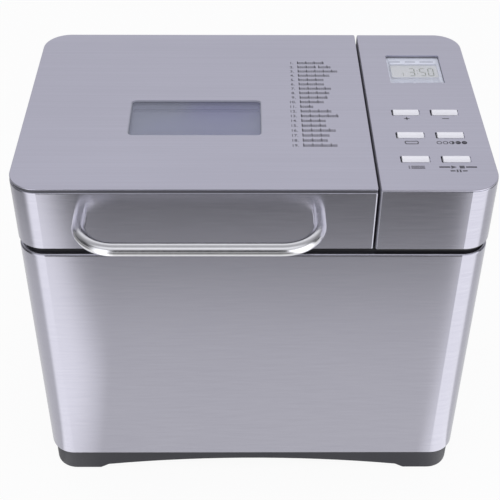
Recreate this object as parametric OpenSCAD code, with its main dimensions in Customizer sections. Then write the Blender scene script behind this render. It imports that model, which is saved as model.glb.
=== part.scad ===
// Bread machine with a hinged lid, a viewing window, a fixed control block and a lift-out pan.
// Lengths are in millimetres. X runs to the right, Y to the back and Z up. The origin lies on the
// table under the middle of the whole machine, its handle included.

/* [Body] */
// Width of the machine
body_w = 360; // [330:1:400]
// Depth of the machine without its handle
body_d = 228; // [222:1:260]
// Height from the table to the lid's top
machine_h = 316; // [300:1:340]
// Radius of the upright corners
corner_r = 22; // [14:1:28]
// Thickness of the steel sheet
sheet_t = 0.8; // [0.5:0.1:1.2]
// How far the lower shell stands in from the lid
shell_inset = 0.4; // [0:0.1:2]
// Height of the lid and of the control block
head_h = 55; // [52:0.5:62]
// Height of the dark joint under the lid
seam_h = 6; // [5:0.5:9]
// Height of the plastic base
base_h = 24; // [22:0.5:30]
// How far the base stands in from the shell
base_inset = 2.5; // [1:0.1:4]

/* [Base] */
// Wall of the plastic base
base_wall = 2.5; // [2:0.1:3.5]
// Radius of the base's lower edge
base_edge_r = 1; // [0.5:0.1:2]
// Length of each corner foot along the front
foot_len = 39.5; // [34:0.5:60]
// Length of the slope beside a foot
foot_slope = 8.5; // [4:0.5:12]
// Height at which the arch between the feet starts
arch_start = 5.7; // [3:0.1:7]
// Height of the arch at its middle
arch_top = 14.2; // [9:0.1:14.6]
// Diameter of the rubber pads
pad_d = 16; // [12:1:20]
// How far the pads stand out of the feet
pad_out = 0.8; // [0.5:0.1:2]

/* [Lid] */
// Width of the gap between lid and control block
groove_w = 1.9; // [1.4:0.1:4]
// Corner radius beside that gap
groove_r = 1.5; // [1.4:0.1:4]
// Thickness of the top plates
plate_t = 1.1; // [0.8:0.1:1.4]
// Radius of the top plates' upper edges
plate_edge_r = 0.5; // [0.3:0.1:0.7]
// Height of the dark line under the lid's top plate
lid_line_h = 1.6; // [1:0.1:2.5]
// Distance of the hinge axis from the lid's back
hinge_in = 14; // [12:0.5:15]
// Height of the hinge axis over the lid's lower edge
hinge_up = 16; // [15.5:0.5:20]
// Diameter of the hinge pins
hinge_pin_d = 5; // [4:0.5:6]
// Gap between the lid's lower edge and the deck
lid_gap = 0.8; // [0.5:0.1:1.5]

/* [Window] */
// Width of the window
window_w = 104; // [80:0.5:120]
// Depth of the window
window_d = 49.5; // [36:0.5:60]
// Middle of the window from the middle of the machine, front to back
window_y = -18.4; // [-30:0.1:10]
// Thickness of each pane
pane_t = 3; // [2:0.5:4]

/* [Handle] */
// Diameter of the handle bar
handle_d = 10; // [8:0.5:12]
// Distance between the handle's legs, middle to middle
handle_w = 175.8; // [140:0.2:200]
// How far the handle's middle stands to the right of the lid's middle
handle_off = 5; // [-5:0.1:9]
// How far the bar's middle stands out of the lid
handle_reach = 35.8; // [32:0.2:45]
// Depth of the handle's middle under the lid's top
handle_drop = 25.5; // [20:0.5:32]
// Bend radius of the handle
handle_bend = 28; // [20:1:30]

/* [Controls] */
// Width of the control block
control_w = 88.4; // [84:0.1:96]
// Width of a button
button_w = 20; // [16:0.5:24]
// Depth of a button
button_d = 8; // [6:0.1:10]
// How far the crown of a button stands out of the plate
button_out = 1.7; // [1.4:0.1:2.5]
// How far its front and back edge stand out of the plate
button_edge = 0.3; // [0.1:0.1:0.8]
// Gap at the ends of a button
button_gap = 1.2; // [0.3:0.1:1.5]
// Travel of a button
button_travel = 1.2; // [0.8:0.1:1.3]
// Distance between the two columns of buttons
button_col = 30.6; // [28:0.2:34]
// Distance between the three rows of buttons
button_row = 31.9; // [26:0.1:34]
// Place of the front row of buttons, from the middle of the machine
button_y = -75.1; // [-80:0.1:-70]
// Width of the display
lcd_w = 45; // [40:0.5:50]
// Depth of the display
lcd_d = 45; // [36:0.5:47]
// Place of the display's middle, from the middle of the machine
lcd_y = 56; // [50:0.5:60]

/* [Oven] */
// Space beside the baking chamber, under the lid
chamber_side = 14.9; // [14.5:0.1:20]
// Inner depth of the baking chamber, if the hinge leaves room for it
chamber_d = 180; // [170:1:180]
// Height of the chamber's floor over the table
chamber_z = 56; // [55:0.5:60]
// Corner radius of the chamber
chamber_r = 34; // [28:1:44]
// Space between the pan and the chamber's side
pan_side = 20; // [18:1:30]
// Space between the pan and the chamber's front and back
pan_front = 25; // [23:1:35]
// Height of the bread pan
pan_h = 148; // [130:1:150]
// Wall of the bread pan
pan_wall = 1.5; // [1:0.1:2]
// Corner radius of the bread pan
pan_r = 20; // [16:1:28]
// Diameter of the pan's wire handle
bail_d = 4; // [3:0.5:4]

/* [Drive] */
// Diameter of the large pulley
drive_pulley_d = 96; // [80:1:110]
// Diameter of the motor's pulley
motor_pulley_d = 16; // [14:0.5:24]
// Distance of the motor's axis from the machine's right side
motor_in = 58; // [56:1:60]
// Diameter of the paddle's and the drive's shaft
shaft_d = 8; // [7:0.5:9]
// Radial clearance of a turning shaft
run_gap = 0.06; // [0.03:0.01:0.1]
// Number of ribs on the belt
rib_count = 3; // [2:1:4]

/* [Hidden] */
$fn = 48;

over = 1;                                   // overrun of a cut past a face
slack = 0.25;                               // gap round a part that slides or drops in

// Heights from the table up
shell_top = machine_h - head_h - seam_h;
head_z = machine_h - head_h;
deck_top = head_z - lid_gap;
plate_z = machine_h - plate_t;
skirt_top = plate_z - lid_line_h;

// The machine's depth, from the handle's bar to the cord gland, places the origin
gland_out = 3;
front_reach = body_d / 2 + handle_reach + handle_d / 2;
body_y = (front_reach - body_d / 2 - gland_out) / 2;

// Outlines: [left, right, front, back, [corner radii, front left and then anticlockwise]]
half_w = body_w / 2;
half_d = body_d / 2;
head = [-half_w, half_w, -half_d, half_d, [corner_r, corner_r, corner_r, corner_r]];
control_left = half_w - control_w;
lid = [-half_w, control_left - groove_w, -half_d, half_d, [corner_r, groove_r, groove_r, corner_r]];
panel_x = control_left + control_w / 2 + 0.1;
motor_x = half_w - motor_in;
control = [control_left, half_w, -half_d, half_d, [groove_r, corner_r, corner_r, groove_r]];
min_r = 0.6;

function inset(o, t) = [o[0] + t, o[1] - t, o[2] + t, o[3] - t, [for (r = o[4]) max(r - t, min_r)]];
function boxed(x, y, l, d, r) = [x - l / 2, x + l / 2, y - d / 2, y + d / 2, [r, r, r, r]];

shell = inset(head, shell_inset);
shell_fold = 8;                             // width of the shell's folded edges
base = inset(shell, base_inset);
chamber_x = (lid[0] + lid[1]) / 2;
handle_x = chamber_x + handle_off;
chamber_l = lid[1] - lid[0] - 2 * chamber_side;
tower_r = 7;                                // round head of the hinge's towers
hinge_y = half_d - hinge_in;
gasket_lap = 2.5;                           // how far the lid's gasket lies on the deck
oven_d = min(chamber_d, 2 * (hinge_y - tower_r - gasket_lap - slack));
chamber = boxed(chamber_x, 0, chamber_l, oven_d, chamber_r);
pan_l = chamber_l - 2 * pan_side;
pan_d = oven_d - 2 * pan_front;
pan = boxed(chamber_x, 0, pan_l, pan_d, pan_r);
window = boxed(chamber_x - 0.4, window_y, window_w, window_d, 4);

module at_body() { translate([0, body_y, 0]) children(); }
module at_drive() { translate([chamber_x, 0, 0]) children(); }
module at_motor() { translate([motor_x, 0, 0]) children(); }

// Flat rounded rectangle of an outline
module area(o) {
    r = o[4];
    c = [[o[0] + r[0], o[2] + r[0]], [o[1] - r[1], o[2] + r[1]],
        [o[1] - r[2], o[3] - r[2]], [o[0] + r[3], o[3] - r[3]]];
    polygon([[c[0].x, o[2]], [c[1].x, o[2]], c[1], [o[1], c[1].y], [o[1], c[2].y], c[2],
        [c[2].x, o[3]], [c[3].x, o[3]], c[3], [o[0], c[3].y], [o[0], c[0].y], c[0]]);
    for (i = [0:3]) translate(c[i]) circle(r[i]);
}

module plate(o, z0, z1) { translate([0, 0, z0]) linear_extrude(z1 - z0) area(o); }

module ring(o, t, z0, z1) {
    translate([0, 0, z0]) linear_extrude(z1 - z0) difference() {
        area(o);
        area(inset(o, t));
    }
}

// Plate whose upper edge is rounded
module soft_plate(o, z0, z1, r) {
    plate(inset(o, r), z0, z1);
    swept(o) {
        translate([-r, z0]) square([r, z1 - r - z0]);
        translate([-r, z1 - r]) intersection() {
            circle(r);
            square(r);
        }
    }
}

// Sweeps a wall's profile round an outline; the profile's x is measured outwards from it
module swept(o) {
    r = o[4];
    c = [[o[0] + r[0], o[2] + r[0]], [o[1] - r[1], o[2] + r[1]],
        [o[1] - r[2], o[3] - r[2]], [o[0] + r[3], o[3] - r[3]]];
    runs = [c[3].y - c[0].y, c[1].x - c[0].x, c[2].y - c[1].y, c[2].x - c[3].x];
    for (i = [0:3]) translate(c[i]) rotate([0, 0, 180 + 90 * i]) {
        rotate_extrude(angle = 90) translate([r[i], 0]) children();
        rotate([90, 0, 0]) linear_extrude(runs[i]) translate([r[i], 0]) children();
    }
}

// Profile of a quarter-round bend; quadrant 0 is up and out, 1 up and in, 2 down and in
module bend(r, t, quadrant) {
    rotate(90 * quadrant) intersection() {
        difference() {
            circle(r);
            circle(r - t);
        }
        square(r + over);
    }
}

// Profile of an upright sheet whose top edge, and bottom edge if asked, folds inwards
module folded_sheet(z0, z1, r_top, r_bottom, fold) {
    translate([-sheet_t, z0 + r_bottom]) square([sheet_t, z1 - z0 - r_top - r_bottom]);
    translate([-r_top, z1 - r_top]) bend(r_top, sheet_t, 0);
    translate([-fold, z1 - sheet_t]) square([fold - r_top, sheet_t]);
    if (r_bottom > 0) {
        translate([-r_bottom, z0 + r_bottom]) bend(r_bottom, sheet_t, 3);
        translate([-fold, z0]) square([fold - r_bottom, sheet_t]);
    }
}

module rod(r, z0, z1) { translate([0, 0, z0]) cylinder(r = r, h = z1 - z0); }
module slab(x0, x1, y0, y1, z0, z1) { translate([x0, y0, z0]) cube([x1 - x0, y1 - y0, z1 - z0]); }

// ---- Base -------------------------------------------------------------------------------

floor_t = 2.5;
floor_z = arch_top + 1.2;                   // underside of the tray's floor
floor_top = floor_z + floor_t;
chassis_t = 2;
chassis_z = chamber_z - 10;                 // underside of the chassis plate
chassis_top = chassis_z + chassis_t;
pad_in = 26;                                // pads from the base's sides
pad_recess = 2;
tongue_h = 8;
column_r = 6;
screw_r = 2;
screw_head_r = 4;
screw_head_t = 2.5;
column_y = half_d - 52;
column_spots = [for (x = [base[0] + 34, motor_x - 62, base[1] - 30], y = [-column_y, column_y])
    [x, y]];
pad_y = base[3] - 22;
pad_spots = [for (x = [base[0] + pad_in, base[1] - pad_in], y = [-pad_y, pad_y]) [x, y]];
vent_pitch = 7;
vent_w = 3;
vent_l = 100;

// Lower wall of the tray, with a rounded outer edge
module base_wall_profile() {
    r = base_edge_r;
    translate([-base_wall, pad_out + r]) square([base_wall, base_h - pad_out - r]);
    translate([-base_wall, pad_out]) square([base_wall - r, r]);
    translate([-r, pad_out + r]) intersection() {
        circle(r);
        translate([0, -r]) square(r);
    }
}

// Cut between two feet, from the front to the back: a shallow arch over two short slopes
module arch_cut(span, depth) {
    foot = span / 2;
    inner = foot - foot_slope;
    rise = arch_top - arch_start;
    r = (inner * inner + rise * rise) / (2 * rise);
    intersection() {
        translate([0, 0, arch_top - r]) rotate([90, 0, 0])
            cylinder(r = r, h = depth, center = true, $fn = 96);
        slab(-inner, inner, -depth / 2, depth / 2, -over, arch_top + over);
    }
    rotate([90, 0, 0]) linear_extrude(depth, center = true) polygon([[-foot, -over], [foot, -over],
        [foot, pad_out], [inner, arch_start], [-inner, arch_start], [-foot, pad_out]]);
}

module base_tray() color("dimgray") at_body() {
    difference() {
        union() {
            swept(base) base_wall_profile();
            plate(inset(base, base_wall), floor_z, floor_top);
            ring(inset(shell, shell_fold + slack), base_wall, floor_z, base_h + tongue_h);
            for (p = pad_spots) translate(p) rod(pad_d / 2 + base_wall, pad_out, floor_top);
            for (p = column_spots) translate(p) rod(column_r, floor_z, chassis_z);
        }
        arch_cut(base[1] - base[0] - 2 * foot_len, body_d + over);
        rotate([0, 0, 90]) arch_cut(base[3] - base[2] - 2 * foot_len, body_w + over);
        for (p = pad_spots) translate(p) rod(pad_d / 2, 0, pad_out + pad_recess);
        for (p = column_spots) translate(p) rod(screw_r, 0, chassis_z + over);
        for (i = [-4:4]) translate([motor_x + i * vent_pitch, 0, 0])
            slab(-vent_w / 2, vent_w / 2, -vent_l / 2, vent_l / 2, floor_z - over, floor_top + over);
    }
}

module foot_pads() color("black") at_body() {
    for (p = pad_spots) translate(p) rod(pad_d / 2, 0, pad_out + pad_recess);
}

module base_screws() color("silver") at_body() {
    for (p = column_spots) translate(p) {
        rod(screw_r, floor_z, chassis_top);
        rod(screw_head_r, floor_z - screw_head_t, floor_z);
    }
}

// ---- Lower shell, back cover and deck ---------------------------------------------------

rim_r = 2;                                  // rolled upper edge of the shell
rim_r_low = 1.2;                            // folded lower edge of the shell
cover_in = 20;                              // cover from the shell's upper and lower edge
cover_h0 = base_h + cover_in;
cover_h1 = shell_top - cover_in;
cover_half = half_w - 42;
cover_lap = 8;
cover_t = 2.5;
louvre_l = 40;
louvre_w = 3;
louvre_step = [50, 8];
shell_back = half_d - shell_inset;
gland_x = half_w - 62;
gland_z = cover_h0 + 20;
gland_r = 6.5;
gland_flange = 3;
gland_l = 10;
cord_r = 3.6;

module body_shell() color("silver") at_body() {
    difference() {
        swept(shell) folded_sheet(base_h, shell_top, rim_r, rim_r_low, shell_fold);
        slab(-cover_half, cover_half, shell_back - 5, half_d + over, cover_h0, cover_h1);
    }
}

module rear_cover() color("dimgray") at_body() {
    inner = shell_back - sheet_t;
    difference() {
        union() {
            slab(-cover_half - cover_lap, cover_half + cover_lap, inner - cover_t, inner,
                cover_h0 - cover_lap, cover_h1 + cover_lap);
            slab(-cover_half + slack, cover_half - slack, inner, shell_back,
                cover_h0 + slack, cover_h1 - slack);
        }
        for (column = [-2:2], row = [0:9])
            translate([column * louvre_step.x, 0, cover_h1 - 24 - row * louvre_step.y])
                slab(-louvre_l / 2, louvre_l / 2, inner - cover_t - over, half_d,
                    -louvre_w / 2, louvre_w / 2);
        translate([gland_x, half_d + over, gland_z]) rotate([90, 0, 0])
            cylinder(r = gland_r, h = 2 * gland_l);
    }
}

module cord_gland() color("black") at_body() {
    translate([gland_x, shell_back, gland_z]) rotate([-90, 0, 0]) difference() {
        union() {
            rod(gland_r, -gland_l, 0);
            rod(gland_r + gland_flange, 0, gland_out + shell_inset);
        }
        rod(cord_r, -gland_l - over, gland_out + shell_inset + over);
    }
}

seam_inset = 4.5;
deck_t = 2.5;
deck_wall = 2.5;
tower_w = 12;
tower_spread = 86;                          // towers from the lid's middle
hinge_z = head_z + hinge_up;
towers = [chamber_x - tower_spread, chamber_x + tower_spread];
upstand = 7;                                // rim that the control block stands round
wiring_half = half_d - 54;                  // opening for the wires under the block

module hinge_rod(r, x0, x1) {
    translate([x0, hinge_y, hinge_z]) rotate([0, 90, 0]) cylinder(r = r, h = x1 - x0);
}

module top_deck() color([0.1, 0.1, 0.11]) at_body() {
    deck = inset(head, seam_inset);
    difference() {
        union() {
            plate(deck, deck_top - deck_t, deck_top);
            ring(deck, deck_wall, shell_top, deck_top);
            ring(inset(chamber, -deck_wall), deck_wall, shell_top, deck_top);
            ring(inset(control, sheet_t), deck_wall, deck_top - over, head_z + upstand);
            for (x = towers) {
                slab(x - tower_w / 2, x + tower_w / 2, hinge_y - tower_r, hinge_y + tower_r,
                    deck_top - over, hinge_z);
                hinge_rod(tower_r, x - tower_w / 2, x + tower_w / 2);
            }
        }
        plate(chamber, shell_top - over, deck_top + over);
        slab(control_left + 14, half_w - 22, -wiring_half, wiring_half,
            shell_top - over, deck_top + over);
        for (x = towers) hinge_rod(hinge_pin_d / 2, x - tower_w, x + tower_w);
    }
}

knuckle_t = 8;
notch_gap = 1;
pin_half = tower_w / 2 + notch_gap + knuckle_t;

module hinge_pins() color("silver") at_body() {
    for (x = towers) hinge_rod(hinge_pin_d / 2, x - pin_half, x + pin_half);
}

// ---- Control block ----------------------------------------------------------------------

skirt_fold_r = 1;
skirt_fold = 1.3;
lens_t = 1;
bezel_t = 1.2;
lens_drop = 1.8;                            // depth of the display's lens under the plate
lens_top = machine_h - lens_drop;
bezel_z = lens_top - lens_t - bezel_t;
flange_w = 1;                               // button's flange, on every side
flange_t = 1.2;
pocket_z = plate_z - 2.8;                   // floor of the pockets that the flanges move in
guide_z = pocket_z - 2.2;
stem_w = 10;
stem_d = 5;
switch_gap = 0.1;
board_t = 1.6;
switch_h = 4.3;
switch_top = guide_z - 0.2;
board_top = switch_top - switch_h;
board = boxed(panel_x + 0.6, 0, control_w - 15.8, body_d - 44, 2);
lcd = boxed(panel_x, lcd_y, lcd_w, lcd_d, 1.5);
view_side = 5.5;                            // width and depth of the frame round the crystal
view_ends = 23.6;
view_back = 1.8;                            // crystal's middle behind the cut-out's
lcd_view = boxed(panel_x + 0.3, lcd_y + view_back, lcd_w - view_side, lcd_d - view_ends, 0.8);
switch_half = 3;
post_in = 5;                                // board's posts from its edges
leg_r = 3.5;
leg_spots = [for (x = [control_left + 9.5, half_w - 11], y = [-half_d + 13, half_d - 13]) [x, y]];

function button_place(col, row) = [panel_x + (col - 0.5) * button_col, button_y + row * button_row];
button_spots = [for (row = [0:2], col = [0:1]) button_place(col, row)];

crown_r = (pow(button_d / 2, 2) + pow(button_out - button_edge, 2)) / (2 * (button_out - button_edge));

module button_area(p, grow_x, grow_y) {
    area(boxed(p.x, p.y, button_w + 2 * grow_x, button_d + 2 * grow_y, 1 + grow_y / 2));
}

module control_housing() color("silver") at_body() {
    swept(control) folded_sheet(head_z, plate_z, skirt_fold_r, 0, skirt_fold);
}

module control_plate() color("lightgray") at_body() {
    difference() {
        soft_plate(inset(control, 0.2), plate_z, machine_h, plate_edge_r);
        plate(lcd, plate_z - over, machine_h + over);
        translate([0, 0, plate_z - over]) linear_extrude(plate_t + 2 * over)
            for (p = button_spots) button_area(p, button_gap, slack);
    }
}

module lcd_lens() color("white", 0.4) at_body() {
    plate(inset(lcd, 0.1), lens_top - lens_t, lens_top);
}

module lcd_bezel() color("lavender") at_body() {
    difference() {
        plate(inset(lcd, 0.1), bezel_z, bezel_z + bezel_t);
        plate(lcd_view, bezel_z - over, bezel_z + bezel_t + over);
    }
}

module lcd_module() color([0.72, 0.74, 0.66]) at_body() {
    plate(inset(lcd_view, -1), board_top, bezel_z);
}

module button_guide() color([0.12, 0.12, 0.13]) at_body() {
    difference() {
        union() {
            plate(inset(control, skirt_fold + 0.3), guide_z, plate_z);
            for (p = leg_spots) translate(p) rod(leg_r, deck_top, guide_z + over);
            for (x = [board[0] + post_in, board[1] - post_in], y = [board[2] + post_in, board[3] - post_in])
                translate([x, y, 0]) rod(leg_r, board_top, guide_z + over);
        }
        plate(lcd, bezel_z, plate_z + over);
        plate(inset(lcd, 1.2), guide_z - over, bezel_z + over);
        for (p = button_spots) {
            translate([0, 0, pocket_z]) linear_extrude(plate_z)
                button_area(p, button_gap + flange_w, flange_w + slack);
            plate(boxed(p.x, p.y, stem_w + 2 * slack, stem_d + 2 * slack, 1),
                guide_z - over, plate_z);
        }
    }
}

module control_board() color("darkgreen") at_body() {
    difference() {
        plate(board, board_top - board_t, board_top);
        for (p = leg_spots) translate(p) rod(leg_r + 1, 0, board_top + over);
    }
    for (p = button_spots) slab(p.x - switch_half, p.x + switch_half, p.y - switch_half,
        p.y + switch_half, board_top, switch_top);
}

// Bar with a crowned top, on a flange that is held under the plate
module button(spot) color("whitesmoke") at_body() {
    stem_end = switch_top + button_travel + switch_gap;
    flange_z = pocket_z + button_travel + switch_gap;
    bar_z = flange_z + flange_t;
    intersection() {
        translate([0, 0, bar_z]) linear_extrude(machine_h + button_out - bar_z)
            button_area(spot, 0, 0);
        translate([spot.x - button_w, spot.y, machine_h + button_out - crown_r])
            rotate([0, 90, 0]) cylinder(r = crown_r, h = 2 * button_w, $fn = 96);
    }
    translate([0, 0, flange_z]) linear_extrude(flange_t)
        button_area(spot, button_gap + flange_w - slack, flange_w);
    plate(boxed(spot.x, spot.y, stem_w, stem_d, 0.8), stem_end, flange_z);
}

module button_plus() { button(button_place(0, 2)); }
module button_minus() { button(button_place(1, 2)); }
module button_loaf() { button(button_place(0, 1)); }
module button_browning() { button(button_place(1, 1)); }
module button_menu() { button(button_place(0, 0)); }
module button_start() { button(button_place(1, 0)); }

// ---- Electrics and chassis --------------------------------------------------------------

chassis_edge = 8;                           // height of its folded rim
chassis_rim_t = 1.6;
chassis_r = 12;
chassis_in = 20;                            // chassis from the machine's front and back
spigot_r = 15;                              // bearing housing's spigot in the chassis
motor_hole_r = 12;
window_spots = [for (x = [chamber_x - 65, chamber_x + 65], y = [-55, 55]) [x, y]];

module chassis() color("gainsboro") at_body() {
    x0 = base[0] + 16;
    x1 = base[1] - 10;
    y = half_d - chassis_in;
    plan = [x0, x1, -y, y, [chassis_r, chassis_r, chassis_r, chassis_r]];
    difference() {
        union() {
            plate(plan, chassis_z, chassis_top);
            ring(plan, chassis_rim_t, chassis_z - chassis_edge, chassis_z + chassis_t / 2);
        }
        at_drive() rod(spigot_r, 0, chassis_top + over);
        at_motor() rod(motor_hole_r, 0, chassis_top + over);
        for (p = column_spots) translate(p) rod(screw_r, 0, chassis_top + over);
        for (p = window_spots) plate(boxed(p.x, p.y, 46, 30, 8), 0, chassis_top + over);
    }
}

// Upright board with its transformer, a relay and two capacitors
module power_board() color("darkgreen") at_body() {
    transformer = [26, 36, 36];
    relay = [16, 18, 20];
    can_r = 6;
    can_l = 20;
    translate([half_w - 16, 22 - half_d, chassis_top]) {
        slab(0, board_t, 0, 58, 0, 110);
        translate([-transformer.x, 8, 14]) cube(transformer);
        translate([-relay.x, 8, 62]) cube(relay);
        for (z = [62, 80]) translate([0, 42, z]) rotate([0, -90, 0]) rod(can_r, 0, can_l);
    }
}

module run_capacitor() color("lightgray") at_body() {
    can_r = 17;
    can_h = 56;
    tag = [0.8, 6, 8];
    translate([motor_x + 32, half_d - 48, chassis_top]) {
        rod(can_r, 0, can_h);
        for (x = [-6, 6]) translate([x - tag.x / 2, -tag.y / 2, can_h]) cube(tag);
    }
}

mount_h = 2;
motor_half = 31;
motor_base_z = chassis_top + mount_h;
stack_z = motor_base_z + 12;
stack_h = 32;
bell_r = 27;
rotor_r = 17.5;
air_gap = 0.5;
motor_shaft_r = 3;
mount_r = 6;
mount_pin_r = 3;
mount_spots = [for (x = [-1, 1], y = [-1, 1]) [motor_x + x * (motor_half + mount_r), y * 22]];

module motor_mounts() color("black") at_body() {
    for (p = mount_spots) translate(p) {
        rod(mount_r, chassis_top, motor_base_z);
        rod(mount_pin_r, motor_base_z, motor_base_z + 5);
    }
}

module motor_stator() color([0.45, 0.46, 0.48]) at_body() {
    bell_top = stack_z + stack_h + 12;
    bell_wall = 4;
    flange_l = 2 * (motor_half + 13);
    difference() {
        union() {
            plate(boxed(motor_x, 0, flange_l, 2 * motor_half, mount_r), motor_base_z, motor_base_z + 2);
            at_motor() rod(bell_r, motor_base_z, bell_top);
            plate(boxed(motor_x, 0, 2 * motor_half, 2 * motor_half, 4), stack_z, stack_z + stack_h);
        }
        at_motor() {
            rod(motor_shaft_r + run_gap, 0, bell_top + over);
            rod(rotor_r + air_gap, motor_base_z + bell_wall, bell_top - bell_wall);
        }
        for (p = mount_spots) translate(p) rod(mount_pin_r, 0, motor_base_z + 10);
    }
}

// ---- Oven -------------------------------------------------------------------------------

chamber_edge_r = 12;
chamber_flange = 5;
seat_spigot_r = 13;
element_r = 3.25;
element_z = chamber_z + 19;
element_in = 12;                            // element's middle from the chamber's wall
element_bend = 30;
element = boxed(chamber_x, 0, chamber_l - 2 * element_in, oven_d - 2 * element_in, element_bend);
terminal_half = 12;
terminal_bend = 9;
sheath_out = 6;                             // element's ends outside the wall
pin_out = 13;
pin_r = 1.5;
probe_y = -44;
probe_z = chamber_z + 74;
probe_r = 2.5;

module along_x(r, x0, x1, y, z) {
    translate([x0, y, z]) rotate([0, 90, 0]) cylinder(r = r, h = x1 - x0);
}

module oven_chamber() color("lightgray") at_body() {
    wall = inset(chamber, -sheet_t);
    difference() {
        union() {
            swept(wall) {
                r = chamber_edge_r;
                translate([-sheet_t, chamber_z + r]) square([sheet_t, shell_top - chamber_z - r]);
                translate([-r, chamber_z + r]) bend(r, sheet_t, 3);
                translate([0, shell_top - sheet_t]) square([chamber_flange, sheet_t]);
            }
            plate(inset(wall, chamber_edge_r), chamber_z, chamber_z + sheet_t);
        }
        at_drive() rod(seat_spigot_r, 0, chamber_z + 5);
        for (y = [-terminal_half, terminal_half])
            along_x(element_r, chamber[1] - over, chamber[1] + sheet_t + over, y, element_z);
        along_x(probe_r, chamber[1] - over, chamber[1] + sheet_t + over, probe_y, probe_z);
    }
}

// Loop of the sheathed element, open on the right where its ends leave through the wall
module heating_element() color([0.25, 0.25, 0.27]) at_body() {
    r = element_bend;
    gap = terminal_half + terminal_bend;
    translate([0, 0, element_z]) {
        for (i = [0:3]) {
            right = i == 1 || i == 2;
            far_x = right ? element[1] - r : element[0] + r;
            far_y = i > 1 ? element[3] - r : element[2] + r;
            translate([far_x, far_y, 0]) rotate([0, 0, 180 + 90 * i])
                rotate_extrude(angle = 90) translate([r, 0]) circle(element_r);
        }
        for (y = [element[2], element[3]]) along_x(element_r, element[0] + r, element[1] - r, y, 0);
        translate([element[0], element[3] - r, 0]) rotate([90, 0, 0])
            rod(element_r, 0, element[3] - element[2] - 2 * r);
        for (side = [-1, 1]) scale_y(side) {
            translate([element[1], gap, 0]) rotate([-90, 0, 0]) rod(element_r, 0, element[3] - r - gap);
            translate([element[1] + terminal_bend, gap, 0]) rotate([0, 0, 180])
                rotate_extrude(angle = 90) translate([terminal_bend, 0]) circle(element_r);
            along_x(element_r, element[1] + terminal_bend, chamber[1] + sheath_out, terminal_half, 0);
            along_x(pin_r, chamber[1] + sheath_out, chamber[1] + pin_out, terminal_half, 0);
        }
    }
}

// Mirrors front to back when the side is -1
module scale_y(side) {
    if (side > 0) children();
    else mirror([0, 1, 0]) children();
}

module element_clips() color("silver") at_body() {
    eye = element_r + 1.5;
    t = 2;
    for (x = [chamber_x - 50, chamber_x + 50], side = [-1, 1]) scale_y(side)
        translate([x - t / 2, element[3], 0]) difference() {
            union() {
                along_x(eye, 0, t, 0, element_z);
                slab(0, t, -eye, 0.4, chamber_z + sheet_t, element_z);
            }
            along_x(element_r, -over, t + over, 0, element_z);
        }
}

module temperature_sensor() color("silver") at_body() {
    probe_l = 12;
    head = [6, 16, 12];
    along_x(probe_r, chamber[1] - probe_l, chamber[1] + sheet_t, probe_y, probe_z);
    translate([chamber[1] + sheet_t, probe_y - head.y / 2, probe_z - head.z / 2]) cube(head);
}

// Ceramic body held to the chamber's wall by a plate and a clip
module thermal_fuse() color("white") at_body() {
    body_r = 4;
    body_l = 22;
    holder_t = 1.2;
    translate([chamber[1] + sheet_t, 0, probe_z + 46]) {
        slab(0, holder_t, -14, 14, -8, 8);
        translate([holder_t + body_r, 0, 0]) rotate([90, 0, 0])
            cylinder(r = body_r, h = body_l, center = true);
        slab(holder_t, body_r, -6, 6, -2, 2);
    }
}

// ---- Drive ------------------------------------------------------------------------------

seat_floor = chamber_z + sheet_t;
seat_r = 52;
seat_wall = 2;
seat_h = 12;
seat_flange = 8;
seat_flange_t = 1.5;
seat_slot = 10;                             // slots either side of each spring finger
bearing_z = chassis_z - 6;                  // lower end of the bearing housing
bearing_top = chamber_z + 6;
bearing_r = 18;
bearing_flange_r = 32;
bearing_flange_t = 3;
bush_r = 7;
bush_h = 8;
shaft_r = shaft_d / 2;
pulley_z = floor_top + 5;
pulley_h = 12;
pulley_flange = 1.5;
rib_pitch = 2.4;
rib_depth = 1.6;
belt_gap = 0.2;                             // all round the belt's still loop
belt_t = 1.5;
belt_w = rib_count * rib_pitch;
belt_z = pulley_z + pulley_h / 2 - belt_w / 2;
coupling_z = bearing_top + 2;
coupling_top = coupling_z + 10;
coupling_bore = 7;
wing_r = 18;
wing_w = 6;
pan_z = chamber_z + 28;                     // underside of the pan's floor

module pan_seat() color("silver") at_body() at_drive() {
    difference() {
        union() {
            rod(seat_r + seat_flange, seat_floor, seat_floor + seat_flange_t);
            rod(seat_r, seat_floor, seat_floor + seat_h);
        }
        rod(seat_r - seat_wall, seat_floor + seat_flange_t, seat_floor + seat_h + over);
        rod(seat_spigot_r + 1, 0, seat_floor + seat_h);
        for (a = [45:90:359]) rotate([0, 0, a]) for (side = [-seat_slot, seat_slot])
            slab(seat_r - 2 * seat_wall, seat_r + over, side - 1, side + 1,
                seat_floor + 2 * seat_flange_t, seat_floor + seat_h + over);
    }
}

module bearing_housing() color("gray") at_body() at_drive() {
    difference() {
        union() {
            rod(spigot_r, bearing_z, chassis_top);
            rod(bearing_flange_r, chassis_top, chassis_top + bearing_flange_t);
            rod(bearing_r, chassis_top, chamber_z);
            rod(seat_spigot_r, chamber_z - over, bearing_top);
        }
        rod(bush_r, 0, bearing_top + over);
    }
}

module drive_bushes() color("goldenrod") at_body() at_drive() {
    for (z = [bearing_z, bearing_top - bush_h]) difference() {
        rod(bush_r, z, z + bush_h);
        rod(shaft_r + run_gap, z - over, z + bush_h + over);
    }
}

// Rim of a pulley, cut by one V groove for each rib of the belt
module pulley_rim(r, inner_r) {
    top = pulley_z + pulley_h;
    grooves = [for (i = [0:rib_count - 1]) let (z = belt_z + i * rib_pitch)
        each [[r, z + 0.2], [r - rib_depth, z + rib_pitch / 2], [r, z + rib_pitch - 0.2]]];
    lip = r + belt_t;
    rotate_extrude() polygon(concat([[inner_r, pulley_z], [lip, pulley_z],
        [lip, pulley_z + pulley_flange], [r, pulley_z + pulley_flange]], grooves,
        [[r, top - pulley_flange], [lip, top - pulley_flange], [lip, top], [inner_r, top]]));
}

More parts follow.
